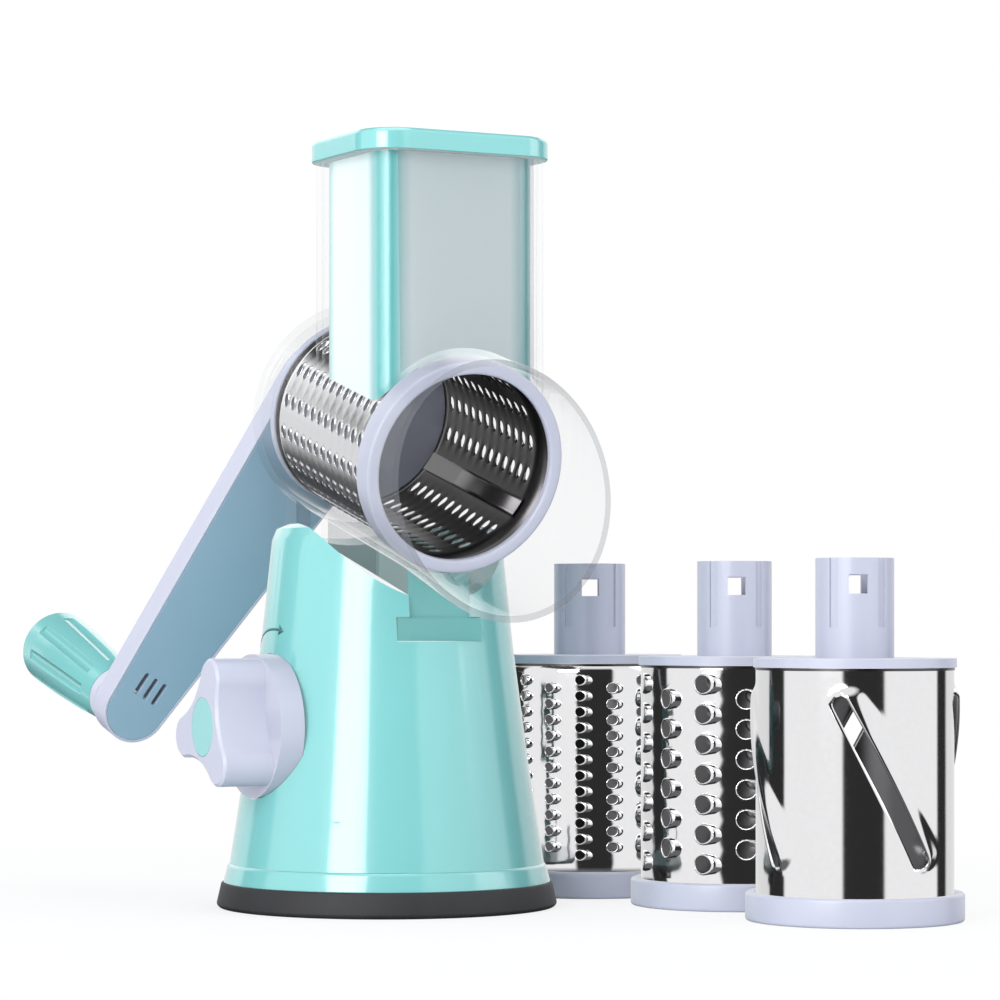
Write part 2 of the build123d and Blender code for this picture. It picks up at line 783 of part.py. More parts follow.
def grip_body():
    """The swelling hand grip, bored for its pin and chambered for the pin's head."""
    start = arm_rear + collar_height + running_gap
    end = start + grip_length
    chamber = end - grip_chamber_depth() - running_gap
    side = ThreePointArc(
        (grip_neck_radius, start),
        (grip_waist_radius, start + grip_length / 2),
        (grip_end_radius, end),
    )
    grip = turned((0, start), *stepped(side, side_tapers), (0, end))
    slope = degrees(atan((grip_end_radius - grip_neck_radius) / grip_length))
    flute = Cylinder(flute_radius, grip_length - 2 * flute_end_gap, rotation=(0, slope, 0))
    reach = (grip_neck_radius + grip_end_radius) / 2 + flute_radius - flute_depth
    for place in PolarLocations(reach, grip_flutes):
        grip -= Pos(0, 0, (start + end) / 2) * place * flute
    grip -= tube(pin_radius + running_gap, 0, start, end)
    grip -= tube(grip_chamber_radius, 0, chamber, end)
    return Pos(*arm_tip) * grip


def grip_end_cap():
    """The dome that closes the grip's chamber."""
    seat = arm_rear + collar_height + running_gap + grip_length
    radius = grip_end_radius
    dome_radius = (radius**2 + grip_dome**2) / (2 * grip_dome)
    crown = RadiusArc((radius, seat), (0, seat + grip_dome), -dome_radius)
    dome = turned((0, seat), *stepped(crown, side_tapers))
    plug = tube(grip_chamber_radius - fit_gap, grip_chamber_radius - plug_wall, seat - plug_height, seat)
    return Pos(*arm_tip) * (dome + plug)


parts["crank_arm"] = on_axis * crank_arm()
parts["crank_inlay"] = on_axis * crank_inlay()
parts["crank_catch"] = on_axis * crank_catch()
parts["grip_pin"] = on_axis * grip_pin()
collar = turned(
    (pin_radius + pin_gap, arm_rear),
    (collar_radius, arm_rear),
    (grip_neck_radius, arm_rear + collar_height),
    (pin_radius + pin_gap, arm_rear + collar_height),
)
parts["grip_collar"] = on_axis * (Pos(*arm_tip) * collar)
parts["grip_body"] = on_axis * grip_body()
parts["grip_end_cap"] = on_axis * grip_end_cap()

for name, part in parts.items():
    export_step(part, f"parts/{name}.step")
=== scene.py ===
from math import atan2, cos, pi, radians, sin, tan, tau

import bmesh
import bpy
from mathutils import Matrix, Vector
from mathutils.bvhtree import BVHTree


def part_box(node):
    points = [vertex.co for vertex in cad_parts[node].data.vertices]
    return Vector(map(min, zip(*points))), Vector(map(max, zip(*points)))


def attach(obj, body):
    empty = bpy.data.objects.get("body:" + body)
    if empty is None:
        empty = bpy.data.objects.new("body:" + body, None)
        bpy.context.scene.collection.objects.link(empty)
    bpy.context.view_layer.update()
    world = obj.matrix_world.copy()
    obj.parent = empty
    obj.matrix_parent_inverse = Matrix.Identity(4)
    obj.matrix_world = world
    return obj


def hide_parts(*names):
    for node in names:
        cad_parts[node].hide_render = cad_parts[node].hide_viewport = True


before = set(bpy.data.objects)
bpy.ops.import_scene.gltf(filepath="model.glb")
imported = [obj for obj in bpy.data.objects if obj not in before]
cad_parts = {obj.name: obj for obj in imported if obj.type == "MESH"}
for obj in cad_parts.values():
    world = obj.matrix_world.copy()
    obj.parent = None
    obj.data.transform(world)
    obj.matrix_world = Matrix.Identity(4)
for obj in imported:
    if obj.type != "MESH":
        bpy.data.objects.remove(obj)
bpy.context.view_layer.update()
MM = 0.001

# ---------------------------------------------------------------- the tool's own places
DRUM_TILT = radians(15.6)
MOUTH = Vector((0, -76, 190)) * MM
DRUM_RADIUS = 41.5 * MM
STEEL_START = 4 * MM
STEEL_END = 106.2 * MM
RING_RADIUS = 46 * MM
RING_HEIGHT = 12 * MM
SPARE_TURN = radians(-28)
SEAM_TURN = radians(210)
RIM_SLANT = radians(22.3)
TEE_TOP = 146 * MM
HOPPER_FOOT = 242 * MM
RIM_MATCH = 0.95
FACES_FRONT = -0.9
KNOB_HEIGHT = 80 * MM
ARROW_RADIUS = 42 * MM
ARROW_HALF_WIDTH = 0.55 * MM
ARROW_START = radians(36)
ARROW_END = radians(-7)
SEAM_LENGTH = 88 * MM
SEAM_MIDDLE = 58 * MM
SEAM_DEPTH = 1.1 * MM


def fitted_place():
    """From a drum's own frame, mouth at its origin, to its place in the housing."""
    up = Vector((0, -sin(DRUM_TILT), cos(DRUM_TILT)))
    back = Vector((0, cos(DRUM_TILT), sin(DRUM_TILT)))
    return Matrix.Translation(MOUTH) @ Matrix((Vector((-1, 0, 0)), up, back)).transposed().to_4x4()


def spare_place(name):
    """From a drum's own frame to where the spare of that name stands."""
    low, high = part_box(name + "_drum_ring")
    middle = (low + high) / 2
    return Matrix.Translation((middle.x, middle.y, low.z)) @ Matrix.Rotation(SPARE_TURN, 4, "Z")


# ---------------------------------------------------------------- shader kit
class Flow:
    """A socket of a shader tree, reckoned with as a number."""

    def __init__(self, finish, socket):
        self.finish = finish
        self.socket = socket

    def reckon(self, operation, first, second=0.0):
        return self.finish.node("ShaderNodeMath", {"operation": operation}, {0: first, 1: second})

    def __add__(self, other):
        return self.reckon("ADD", self, other)

    def __sub__(self, other):
        return self.reckon("SUBTRACT", self, other)

    def __rsub__(self, other):
        return self.reckon("SUBTRACT", other, self)

    def __mul__(self, other):
        return self.reckon("MULTIPLY", self, other)

    def __truediv__(self, other):
        return self.reckon("DIVIDE", self, other)

    def __pow__(self, other):
        return self.reckon("POWER", self, other)

    def abs(self):
        return self.reckon("ABSOLUTE", self)

    def clamp(self):
        return self.reckon("MINIMUM", self.reckon("MAXIMUM", self, 0.0), 1.0)

    __radd__ = __add__
    __rmul__ = __mul__


class Finish:
    """A material or world under way: its nodes, and the shader that ends it."""

    def __init__(self, holder, kind="Material"):
        self.holder = holder
        holder.use_nodes = True
        self.tree = holder.node_tree
        self.tree.nodes.clear()
        self.end = self.tree.nodes.new(f"ShaderNodeOutput{kind}")

    def node(self, kind, settings=None, sockets=None, output=0):
        """A node with its settings, then the values or links of its sockets."""
        made = self.tree.nodes.new(kind)
        for name, value in (settings or {}).items():
            if name == "stops":
                self.stops(made.color_ramp, value)
            else:
                setattr(made, name, value)
        for name, value in (sockets or {}).items():
            if isinstance(value, Flow):
                self.tree.links.new(value.socket, made.inputs[name])
            else:
                made.inputs[name].default_value = value
        return Flow(self, made.outputs[output])

    def stops(self, ramp, stops):
        """A ramp's stops, each a place and a grey or a colour."""
        while len(ramp.elements) < len(stops):
            ramp.elements.new(1.0)
        for element, (place, value) in zip(ramp.elements, stops):
            element.position = place
            element.color = (value, value, value, 1) if isinstance(value, (int, float)) else (*value, 1)

    def close(self, shader):
        """Ends the tree in a surface shader."""
        self.tree.links.new(shader.socket, self.end.inputs["Surface"])
        return self.holder

    def coordinates(self):
        return self.node("ShaderNodeTexCoord", output="Object")

    def noise(self, scale, detail=2.0, distortion=0.0):
        sockets = {
            "Vector": self.coordinates(), "Scale": scale, "Detail": detail, "Distortion": distortion,
        }
        return self.node("ShaderNodeTexNoise", None, sockets, "Fac")

    def blend(self, amount, first, second):
        """A colour between two, by an amount."""
        return self.node(
            "ShaderNodeMix", {"data_type": "RGBA"},
            {0: amount, 6: first if isinstance(first, Flow) else (*first, 1),
             7: second if isinstance(second, Flow) else (*second, 1)}, 2,
        )

    def bump(self, height, strength, distance):
        return self.node(
            "ShaderNodeBump", None, {"Height": height, "Strength": strength, "Distance": distance}
        )


def material(name):
    return Finish(bpy.data.materials.new(name))


def shade(colour, factor):
    return tuple(min(1.0, channel * factor) for channel in colour)


# ---------------------------------------------------------------- finishes
def corner_share(finish, node, width):
    """How far a point of an upright box is into the rounded corners, from 0 to 1."""
    low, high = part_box(node)
    split = finish.node("ShaderNodeSeparateXYZ", None, {"Vector": finish.coordinates()})
    inside = []
    for side, axis in enumerate("XY"):
        place = Flow(finish, split.socket.node.outputs[axis])
        reach = (high[side] - low[side]) / 2 - width
        inside.append(((place - (high[side] + low[side]) / 2).abs() - reach) / (0.6 * width))
    return finish.node("ShaderNodeMath", {"operation": "MINIMUM"}, {0: inside[0], 1: inside[1]}).clamp()


def moulded_plastic(name, colour, roughness, grain, coat=0.0, corners=None):
    """Moulded plastic: faint clouding of the colour, uneven gloss, a fine moulded grain, and if asked a
    painted dark reflection in an upright box's rounded corners.
    """
    finish = material(name)
    cloud = finish.noise(22.0, 3.0)
    speckle = finish.noise(900.0, 1.0)
    smear = finish.noise(75.0, 4.0, distortion=0.6)
    colour_flow = finish.blend(cloud, shade(colour, 0.965), shade(colour, 1.03))
    # Painted reflection: the rounded corners are blended to a darker colour, and lose their coat, for the
    # dark reflection there.
    if corners:
        node, width, dark_reflection = corners
        share = corner_share(finish, node, width)
        colour_flow = finish.blend(share, colour_flow, dark_reflection)
        coat = coat * (1.0 - share)
    surface = finish.node(
        "ShaderNodeBsdfPrincipled", None,
        {
            "Base Color": colour_flow,
            "Roughness": roughness + (smear - 0.5) * 0.09 + (speckle - 0.5) * 0.03,
            "Normal": finish.bump(speckle * 0.5 + smear * 0.5, grain, 0.0002),
            "IOR": 1.5,
            "Coat Weight": coat,
            "Coat Roughness": 0.09,
            "Coat IOR": 1.7,
        },
    )
    return finish.close(surface)


def suction_rubber():
    """Black rubber with a dusty, slightly uneven skin."""
    finish = material("suction_rubber")
    dust = finish.noise(55.0, 5.0)
    pores = finish.noise(1400.0, 2.0)
    surface = finish.node(
        "ShaderNodeBsdfPrincipled", None,
        {
            "Base Color": finish.blend(dust, (0.012, 0.012, 0.014), (0.032, 0.032, 0.036)),
            "Roughness": 0.5 + dust * 0.25,
            "Normal": finish.bump(pores, 0.25, 0.0002),
        },
    )
    return finish.close(surface)


def polished_steel(name, roughness, tint=(0.80, 0.80, 0.81)):
    """Polished stainless sheet: faint rolling marks and slow waves that bend its reflections."""
    finish = material(name)
    waves = finish.noise(26.0, 1.0)
    marks = finish.noise(420.0, 3.0)
    surface = finish.node(
        "ShaderNodeBsdfPrincipled", None,
        {
            "Base Color": finish.blend(marks, shade(tint, 0.94), tint),
            "Metallic": 1.0,
            "Roughness": roughness + marks * 0.06,
            "Normal": finish.bump(waves + marks * 0.02, 0.08, 0.001),
        },
    )
    return finish.close(surface)


def plated_steel():
    """Zinc plated screws and pins."""
    finish = material("plated_steel")
    streaks = finish.noise(600.0, 4.0)
    surface = finish.node(
        "ShaderNodeBsdfPrincipled", None,
        {
            "Base Color": finish.blend(streaks, (0.42, 0.42, 0.44), (0.62, 0.62, 0.63)),
            "Metallic": 1.0,
            "Roughness": 0.28 + streaks * 0.15,
            "Normal": finish.bump(streaks, 0.15, 0.0001),
        },
    )
    return finish.close(surface)


def clear_plastic(name, body_share, edge_share, tone, clearness=0.987):
    """Clear moulding: open face on, painted grey shade where seen edge on, with a thin gloss."""
    finish = material(name)
    smear = finish.noise(48.0, 4.0)
    edge = finish.node("ShaderNodeLayerWeight", None, {"Blend": 0.5}, "Facing")
    wall = finish.node(
        "ShaderNodeBsdfPrincipled", None,
        {
            "Base Color": finish.blend(smear, shade(tone, 0.92), shade(tone, 1.08)),
            "Roughness": 0.05 + smear * 0.05,
            "IOR": 1.5,
        },
    )
    gloss = finish.node("ShaderNodeBsdfGlossy", None, {"Color": (1, 1, 1, 1), "Roughness": 0.03})
    tint = (clearness - 0.003, clearness, clearness + 0.002, 1)
    open_wall = finish.node("ShaderNodeBsdfTransparent", None, {"Color": tint})
    share = (body_share + (edge ** 10.0) * edge_share).clamp()
    body = finish.node("ShaderNodeMixShader", None, {0: share, 1: open_wall, 2: wall})
    shine = (0.012 + (edge ** 5.0) * 0.3).clamp()
    surface = finish.node("ShaderNodeMixShader", None, {0: shine, 1: body, 2: gloss})
    return finish.close(surface)


MINT = (0.225, 0.595, 0.585)
# Painted light: the pusher's mint is painted much paler than the column's, for the bright light and sheen
# on its faces.
PAINTED_LIGHT_MINT = (0.86, 0.99, 0.98)
# Painted reflection: a darker teal for the dark reflection in the pusher's rounded corners.
CORNER_DARK_REFLECTION = (0.13, 0.47, 0.46)
LAVENDER = (0.55, 0.565, 0.675)
mint = moulded_plastic("mint_plastic", MINT, 0.21, 0.04, 0.7)
# Painted light: this paler copy of the mint stands in for the light on the pusher.
painted_light_mint = moulded_plastic(
    "pale_mint_plastic", PAINTED_LIGHT_MINT, 0.22, 0.04, 1.0, ("pusher_body", 14 * MM, CORNER_DARK_REFLECTION)
)
# Painted shade: the arrow is painted a near-black teal for the shade in a sunk arrow's groove.
arrow_painted_shade = moulded_plastic("arrow_mint_plastic", (0.03, 0.16, 0.17), 0.35, 0.05)
lavender = moulded_plastic("lavender_plastic", LAVENDER, 0.34, 0.08, 0.1)
inlay_blue = moulded_plastic("inlay_plastic", (0.30, 0.45, 0.56), 0.42, 0.10)
white_plastic = moulded_plastic("white_plastic", (0.72, 0.73, 0.75), 0.45, 0.10)
rubber = suction_rubber()
steel = polished_steel("polished_steel", 0.05)
# Painted shade: the inside of the drum sheet is painted near black for the shade inside the drums.
inner_steel_painted_shade = polished_steel("inner_steel_painted_shade", 0.26, (0.105, 0.102, 0.106))
plated = plated_steel()
clear = clear_plastic("clear_plastic", 0.018, 0.6, (0.40, 0.43, 0.46))
# Painted shade: the bell's front rim is painted dark grey for the thin dark line seen along it.
clear_rim_painted_shade = clear_plastic("clear_rim_plastic", 0.33, 0.6, (0.14, 0.15, 0.17))
# Painted shade: the clear tee block is painted a shaded teal for the mint of the column seen through it.
clear_block_painted_shade = clear_plastic("clear_block_plastic", 0.72, 0.28, (0.14, 0.52, 0.50))
clear_hopper = clear_plastic("clear_hopper_plastic", 0.006, 0.6, (0.40, 0.43, 0.46), 0.995)


# ---------------------------------------------------------------- mesh kit
def piece(name, mesh, finish, body, slot, place=None, replaces=(), sharp=32):
    """Ends a bmesh as an object of the tool: placed, shaded, riding on its body."""
    if place is not None:
        bmesh.ops.transform(mesh, matrix=place, verts=mesh.verts)
    for face in mesh.faces:
        face.smooth = True
    for edge in mesh.edges:
        edge.smooth = not edge.link_faces or edge.calc_face_angle(0.0) < radians(sharp)
    data = bpy.data.meshes.new(name)
    mesh.to_mesh(data)
    mesh.free()
    made = bpy.data.objects.new(name, data)
    bpy.context.scene.collection.objects.link(made)
    data.materials.append(finish)
    made.visible_glossy = slot == "steel" and body == "rotor"
    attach(made, body)
    if replaces:
        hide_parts(*replaces)
    return made


def turned(points, steps=96):
    """A closed ring of (radius, height) points in millimetres, turned about Z."""
    mesh = bmesh.new()
    corners = [mesh.verts.new((radius * MM, 0, height * MM)) for radius, height in points]
    edges = [mesh.edges.new((a, b)) for a, b in zip(corners, corners[1:] + corners[:1])]
    bmesh.ops.spin(
        mesh, geom=corners + edges, cent=(0, 0, 0), axis=(0, 0, 1), angle=tau, steps=steps,
        use_merge=True, use_duplicate=False,
    )
    bmesh.ops.remove_doubles(mesh, verts=mesh.verts, dist=1e-6)
    bmesh.ops.recalc_face_normals(mesh, faces=mesh.faces)
    return mesh


def soften(mesh, width, angle=28, segments=3):
    """Rounds every outer edge that is sharper than the angle."""
    sharp = [
        edge for edge in mesh.edges
        if len(edge.link_faces) == 2 and edge.is_convex and edge.calc_face_angle(0.0) > radians(angle)
    ]
    bmesh.ops.bevel(
        mesh, geom=sharp, offset=width, offset_type="OFFSET", segments=segments, profile=0.5,
        affect="EDGES", clamp_overlap=True, material=-1,
    )
    return mesh


def from_cad(node, whole_flats=True):
    """A copy of a CAD node's mesh, its loose triangles joined and, if asked, its flats made whole."""
    mesh = bmesh.new()
    mesh.from_mesh(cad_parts[node].data)
    bmesh.ops.remove_doubles(mesh, verts=mesh.verts, dist=2e-6)
    if whole_flats:
        bmesh.ops.dissolve_limit(
            mesh, angle_limit=radians(0.6), verts=mesh.verts, edges=mesh.edges, delimit=set(),
        )
    return mesh


def smooth_copy(node, finish, body, slot, rounding=0.0, sharp=32, whole_flats=True):
    """Stands for a CAD node with the same shape, smoothly shaded and with rounded edges."""
    mesh = from_cad(node, whole_flats)
    if rounding:
        soften(mesh, rounding * MM)
    made = piece(node + "_look", mesh, finish, body, slot, replaces=[node], sharp=sharp)
    if rounding:
        flats = made.modifiers.new("flats", "WEIGHTED_NORMAL")
        flats.keep_sharp = True
    return made


# ---------------------------------------------------------------- drums
def tooth_cell(width, pitch, length, breadth, rise, tail, lead, sides=16):
    """One cell of punched sheet: a border, a tipped round mouth and a tapering hood behind it."""
    mesh = bmesh.new()
    foot = bmesh.ops.create_circle(mesh, segments=sides, radius=1.0)["verts"]
    border = bmesh.ops.create_circle(mesh, segments=sides, radius=1.0)["verts"]
    feet = {}
    for corner in foot:
        angle = atan2(corner.co.y, corner.co.x)
        ahead = max(cos(angle), 0.0)
        reach = tail * ahead ** 0.5 if ahead > 0.01 else length * 0.55 * cos(angle)
        corner.co = (lead + reach, breadth * 0.58 * sin(angle) * (1 - 0.28 * ahead), 0)
        feet[corner] = (angle, corner.co.copy())
    for corner in border:
        angle = atan2(corner.co.y, corner.co.x)
        quarter = round(angle / (pi / 2))
        along = (angle - quarter * pi / 2) / (pi / 4)
        spot = Vector((1, along, 0))
        spot.rotate(Matrix.Rotation(quarter * pi / 2, 3, "Z"))
        corner.co = (spot.x * width / 2, spot.y * pitch / 2, 0)
    bmesh.ops.bridge_loops(mesh, edges=mesh.edges[:])
    ring = [edge for edge in mesh.edges if all(v in feet for v in edge.verts)]
    for out, lift in ((0.93, 0.0), (0.82, 0.16), (0.64, 0.60), (0.38, 0.93), (0.0, 1.0)):
        before = {v.co.to_tuple(7): feet[v] for edge in ring for v in edge.verts}
        grown = bmesh.ops.extrude_edge_only(mesh, edges=ring)["geom"]
        for v in grown:
            if isinstance(v, bmesh.types.BMVert):
                angle, start = feet[v] = before[v.co.to_tuple(7)]
                high = rise * (1 + cos(angle)) / 2
                rim = Vector((lead + length / 2 * cos(angle), breadth / 2 * sin(angle), 0))
                v.co = rim.lerp(start, out)
                v.co.z = high * lift
        ring = [edge for edge in grown if isinstance(edge, bmesh.types.BMEdge)]
        ring = [edge for edge in ring if all(v in feet for v in edge.verts) and len(edge.link_faces) == 1]
    bmesh.ops.remove_doubles(mesh, verts=mesh.verts, dist=1e-6)
    bmesh.ops.recalc_face_normals(mesh, faces=mesh.faces)
    data = bpy.data.meshes.new("tooth_cell")
    mesh.to_mesh(data)
    mesh.free()
    return data


def plain_cell(width, pitch, splits=4):
    """A cell of sheet with no tooth, its sides split as a toothed cell's are."""
    mesh = bmesh.new()
    bmesh.ops.create_grid(mesh, x_segments=4, y_segments=splits, size=0.5)
    bmesh.ops.scale(mesh, vec=(width, pitch, 1), verts=mesh.verts)
    data = bpy.data.meshes.new("plain_cell")
    mesh.to_mesh(data)
    mesh.free()
    return data


def punched_drum(columns, count, pitch, tooth, stagger=True, plain=(), turn=0.0):
    """A sheet of cells rolled into a drum, with plain bands above and below the teeth."""
    width = tau * DRUM_RADIUS / columns
    toothed = tooth_cell(width, pitch, **tooth)
    bare = plain_cell(width, pitch)
    half_cell = plain_cell(width, pitch / 2, 2)
    middle = (RING_HEIGHT + STEEL_END) / 2
    mesh = bmesh.new()

    def lay(cell, along, high):
        first = len(mesh.verts)
        mesh.from_mesh(cell)
        mesh.verts.ensure_lookup_table()
        bmesh.ops.translate(mesh, vec=(along, high, 0), verts=mesh.verts[first:])

    for column in range(columns):
        short = stagger and column % 2 == 0
        here = count - 1 if short else count
        along = width * column + turn * DRUM_RADIUS
        for step in range(here):
            lay(bare if column in plain else toothed, along, middle + pitch * (step - (here - 1) / 2))
        if short:
            for side in (-1, 1):
                lay(half_cell, along, middle + side * pitch * (count / 2 - 0.25))
    bmesh.ops.remove_doubles(mesh, verts=mesh.verts, dist=1e-6)
    for level, out in ((STEEL_START, -1), (STEEL_END, 1)):
        edges = [
            edge for edge in mesh.edges
            if len(edge.link_faces) == 1
            and all(abs(v.co.z) < 1e-9 for v in edge.verts)
            and abs(edge.verts[0].co.y - edge.verts[1].co.y) < 1e-7
            and (edge.verts[0].co.y - middle) * out > pitch * (count / 2 - 0.1)
        ]
        grown = bmesh.ops.extrude_edge_only(mesh, edges=edges)["geom"]
        for v in grown:
            if isinstance(v, bmesh.types.BMVert):
                v.co.y = level
    roll(mesh)
    return mesh


def roll(mesh):
    """Rolls a flat sheet into a drum and joins its two ends."""
    for v in mesh.verts:
        angle = v.co.x / DRUM_RADIUS
        reach = DRUM_RADIUS + v.co.z
        v.co = (reach * cos(angle), reach * sin(angle), v.co.y)
    bmesh.ops.remove_doubles(mesh, verts=mesh.verts, dist=2e-6)
    bmesh.ops.recalc_face_normals(mesh, faces=mesh.faces)


def ease(share):
    """A share from 0 to 1 with a gentle start and end."""
    share = min(1.0, max(0.0, share))
    return share * share * (3 - 2 * share)


def sliced_drum():
    """A sheet with slanted slots, one long side of each drawn up as a knife, rolled into a drum."""
    around = tau * DRUM_RADIUS
    high = STEEL_END - STEEL_START
    middle = (RING_HEIGHT + STEEL_END) / 2
    columns = 42 * KNIVES
    step = around / columns
    half = KNIFE_LENGTH / 2
    arc = 2.5 * step * cos(KNIFE_SLANT)
    along = Vector((-sin(KNIFE_SLANT), cos(KNIFE_SLANT), 0))
    across = Vector((cos(KNIFE_SLANT), sin(KNIFE_SLANT), 0))
    centres = [
        Vector((DRUM_RADIUS * (KNIFE_TURN + tau * number / KNIVES), middle, 0)) for number in range(KNIVES)
    ]
    mesh = bmesh.new()
    bmesh.ops.create_grid(mesh, x_segments=columns, y_segments=84, size=0.5)
    bmesh.ops.scale(mesh, vec=(around, high, 1), verts=mesh.verts)
    start = centres[0].x - around / (2 * KNIVES) + step / 2
    bmesh.ops.translate(mesh, vec=(start + around / 2, STEEL_START + high / 2, 0), verts=mesh.verts)
    for v in mesh.verts:
        v.co.x -= tan(KNIFE_SLANT) * (v.co.y - middle)

    def outline(offset):
        """How far a point is from the slot's middle line, and the nearest point of that line."""
        along_line = max(-(half - arc), min(half - arc, offset.dot(along)))
        return (offset - along * along_line).length, along * along_line

    for centre in centres:
        gone = [
            face for face in mesh.faces
            if outline(face.calc_center_median() - centre)[0] < arc * 0.97
        ]
        bmesh.ops.delete(mesh, geom=gone, context="FACES")
        for v in mesh.verts:
            offset = v.co - centre
            away, nearest = outline(offset)
            if v.is_boundary and away < arc * 1.6 and abs(offset.dot(along)) < half + 3 * MM:
                v.co = centre + nearest + (offset - nearest).normalized() * arc
    for v in mesh.verts:
        lift = 0.0
        for centre in centres:
            offset = v.co - centre
            beside = offset.dot(across)
            past = max(abs(offset.dot(along)) - (half - arc), 0) * 1.9
            away = (max(beside, 0) ** 2 + past ** 2) ** 0.5
            lift += KNIFE_RISE * (1 - ease((away - arc) / KNIFE_HOOD)) * ease((beside + arc) / (2 * arc))
        v.co.z = lift
    roll(mesh)
    return mesh


KNIVES = 4
KNIFE_TURN = radians(10)
KNIFE_SLANT = radians(28)
KNIFE_LENGTH = 80 * MM
KNIFE_HOOD = 9.5 * MM
KNIFE_RISE = 2.3 * MM
LEAF_TOOTH = {
    "length": 5.8 * MM, "breadth": 3.7 * MM, "rise": 0.7 * MM, "tail": 4.6 * MM, "lead": -0.8 * MM,
}
FINE_TOOTH = {
    "length": 4.6 * MM, "breadth": 4.6 * MM, "rise": 1.7 * MM, "tail": 6.0 * MM, "lead": -1.8 * MM,
}
COARSE_TOOTH = {
    "length": 8.2 * MM, "breadth": 8.2 * MM, "rise": 2.8 * MM, "tail": 8.7 * MM, "lead": -2.2 * MM,
}


def add_thickness(made, thickness):
    """Gives a sheet its wall, inwards, its inner faces in the steel painted near black for the shade inside
    the drum.
    """
    wall = made.modifiers.new("sheet", "SOLIDIFY")
    wall.thickness = thickness
    wall.offset = -1.0
    wall.use_rim = True
    made.data.materials.append(inner_steel_painted_shade)
    wall.material_offset = 1


def drum_ring(name, body, place):
    """The lavender ring round a drum's mouth, with rounded corners."""
    bore = (DRUM_RADIUS - 1.2 * MM) / MM
    outer = RING_RADIUS / MM
    high = RING_HEIGHT / MM
    seat = DRUM_RADIUS / MM + 0.1
    mesh = turned([(bore, 0), (outer, 0), (outer, high), (seat, high), (seat, 4), (bore, 4)], 128)
    soften(mesh, 1.3 * MM, angle=40, segments=4)
    piece(name + "_drum_ring_look", mesh, lavender, body, "lavender", place, [name + "_drum_ring"])


def seam_strip(body, place):
    """The lapped seam inside the fitted drum: a flat strip with a raised edge."""
    width = tau * DRUM_RADIUS / 18 * 0.62
    mesh = bmesh.new()
    bmesh.ops.create_grid(mesh, x_segments=6, y_segments=2, size=0.5)
    bmesh.ops.scale(mesh, vec=(width, SEAM_LENGTH, 1), verts=mesh.verts)
    for v in mesh.verts:
        angle = v.co.x / DRUM_RADIUS
        reach = DRUM_RADIUS - SEAM_DEPTH
        v.co = (reach * cos(angle), reach * sin(angle), v.co.y + SEAM_MIDDLE)
    bmesh.ops.rotate(mesh, cent=(0, 0, 0), matrix=Matrix.Rotation(SEAM_TURN, 3, "Z"), verts=mesh.verts)
    # The seam takes the steel painted near black for the shade inside the drum.
    made = piece("shredder_drum_seam", mesh, inner_steel_painted_shade, body, "steel", place)
    add_thickness(made, 0.5 * MM)


def drums():
    """The fitted drum and the three spares."""
    places = {"shredder": fitted_place()}
    bodies = {"shredder": "rotor"}
    for name in ("grater", "coarse", "slicer"):
        places[name] = spare_place(name)
        bodies[name] = name + "_drum"
    shells = {
        "shredder": punched_drum(18, 12, 7 * MM, LEAF_TOOTH, False, plain=[0]),
        "grater": punched_drum(18, 12, 7.2 * MM, FINE_TOOTH, turn=radians(5.0)),
        "coarse": punched_drum(14, 7, 13 * MM, COARSE_TOOTH, turn=radians(19.0)),
        "slicer": sliced_drum(),
    }
    turn = Matrix.Rotation(SEAM_TURN, 3, "Z")
    bmesh.ops.rotate(shells["shredder"], cent=(0, 0, 0), matrix=turn, verts=shells["shredder"].verts)
    for name, place in places.items():
        body = bodies[name]
        drum_ring(name, body, place)
        smooth_copy(name + "_drum_cap", lavender, body, "lavender", 0.5)
        shell = piece(
            name + "_drum_shell_look", shells[name], steel, body, "steel", place,
            [name + "_drum_shell"], sharp=60,
        )
        add_thickness(shell, 0.35 * MM if name == "shredder" else 0.6 * MM)
        # Painted shadow: a near-black ring just under the cap stands in for the shadow gap between cap and
        # steel.
        edge = turned([(40.8, 105.0), (41.75, 105.0), (41.75, 106.15), (40.8, 106.15)], 96)
        piece(name + "_drum_rolled_edge", edge, inner_steel_painted_shade, body, "steel", place)
    seam_strip("rotor", places["shredder"])


# ---------------------------------------------------------------- column, foot and housing
def stand():
    """Rubber foot, skirt band, column and clear housing with its rim, tee block and hopper."""
    rubber_foot = turned(
        [
            (0.01, 0), (73.6, 0), (75, 1.5), (72.8, 11), (66, 11), (66, 14.2), (62.3, 14.2), (62.3, 4),
            (0.01, 4),
        ], 128,
    )
    bmesh.ops.remove_doubles(rubber_foot, verts=rubber_foot.verts, dist=0.1 * MM)
    soften(rubber_foot, 0.7 * MM, angle=25)
    piece("suction_foot_look", rubber_foot, rubber, "base", "rubber", None, ["suction_foot"])
    smooth_copy("base_ring", mint, "base", "mint", 0.5)
    smooth_copy("base_column", mint, "base", "mint", 0.0, sharp=24)
    housing = smooth_copy("feed_housing", clear, "base", "clear", 0.0, sharp=24)
    for finish in (clear_rim_painted_shade, clear_block_painted_shade, clear_hopper):
        housing.data.materials.append(finish)
    turn = fitted_place().to_3x3()
    # The rim's end faces take the dark grey painted for the line along the rim.
    rim_normal = turn @ Vector((0, sin(RIM_SLANT), -cos(RIM_SLANT)))
    # The tee block's front faces take the teal painted for the shaded mint seen through them.
    for face in housing.data.polygons:
        if face.center.z < TEE_TOP and face.normal.y < FACES_FRONT:
            face.material_index = 2
        elif face.normal.dot(rim_normal) > RIM_MATCH:
            face.material_index = 1
        elif face.center.z > HOPPER_FOOT:
            face.material_index = 3


def pusher():
    """The pusher, in a mint painted paler for the bright light on it, and its mint lid."""
    # The pusher body takes the mint painted paler for the bright light on it.
    smooth_copy("pusher_body", painted_light_mint, "pusher", "mint", 0.0, sharp=24)
    smooth_copy("pusher_cap", mint, "pusher", "mint", 0.6, sharp=24)


